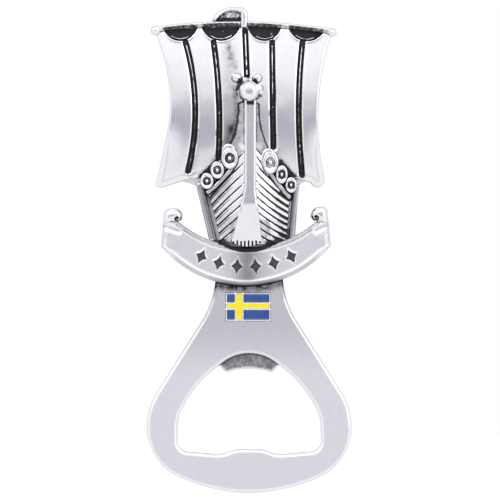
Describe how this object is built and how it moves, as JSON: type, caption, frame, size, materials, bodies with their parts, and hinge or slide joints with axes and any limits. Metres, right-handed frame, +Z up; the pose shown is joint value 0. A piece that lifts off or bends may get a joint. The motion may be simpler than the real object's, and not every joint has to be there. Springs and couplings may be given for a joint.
{
  "type": "bottle opener",
  "caption": "Flat cast bottle opener with a ring lifter below a relief of a long-ship under sail, a ribbon banner, an enamel panel and a fridge magnet at the back.",
  "frame": {"origin": "centre of the magnet's back face, which is what holds the opener on a steel door", "axes": "+Z up towards the sail, along the opener's length; +Y out of the back; +X to the right seen from the front"},
  "size_m": [0.05, 0.0103, 0.1186],
  "materials": {
    "antique_silver": "satin",
    "satin_silver": "satin",
    "dark_silver": "satin",
    "tooth_steel": "matte",
    "enamel_blue": "gloss",
    "enamel_yellow": "gloss",
    "black_fill": "matte",
    "ferrite": "matte",
    "adhesive": "gloss"
  },
  "bodies": {
    "root": {"banner": "antique_silver", "banner_inlays": "black_fill", "banner_scroll_left": "antique_silver", "banner_scroll_right": "antique_silver", "ear_left": "antique_silver", "ear_right": "antique_silver", "enamel_blue_fly_bottom": "enamel_blue", "enamel_blue_fly_top": "enamel_blue", "enamel_blue_hoist_bottom": "enamel_blue", "enamel_blue_hoist_top": "enamel_blue", "enamel_yellow_cross": "enamel_yellow", "figurehead": "antique_silver", "figurehead_snout": "antique_silver", "flag_cell_walls": "antique_silver", "gunwale_left": "antique_silver", "gunwale_right": "antique_silver", "hull_left": "antique_silver", "hull_right": "antique_silver", "lifter_tooth": "tooth_steel", "magnet": "ferrite", "magnet_adhesive": "adhesive", "mast": "antique_silver", "opener_frame": "satin_silver", "sail": "antique_silver", "scallop_cord_1": "antique_silver", "scallop_cord_2": "antique_silver", "scallop_cord_3": "antique_silver", "scallop_cord_4": "antique_silver", "seam_cord_1": "antique_silver", "seam_cord_2": "antique_silver", "seam_cord_3": "antique_silver", "seam_cord_4": "antique_silver", "shield_boss_left_1": "antique_silver", "shield_boss_left_2": "antique_silver", "shield_boss_left_3": "antique_silver", "shield_boss_right_1": "antique_silver", "shield_boss_right_2": "antique_silver", "shield_boss_right_3": "antique_silver", "shield_bow_left": "antique_silver", "shield_bow_right": "antique_silver", "shield_left_1": "antique_silver", "shield_left_2": "antique_silver", "shield_left_3": "antique_silver", "shield_right_1": "antique_silver", "shield_right_2": "antique_silver", "shield_right_3": "antique_silver", "side_rail_left": "antique_silver", "side_rail_right": "antique_silver", "stem_post": "antique_silver", "stern_curl": "antique_silver", "stern_web": "dark_silver", "yard": "antique_silver", "yard_knob_left": "antique_silver", "yard_knob_right": "antique_silver"}
  },
  "joints": []
}
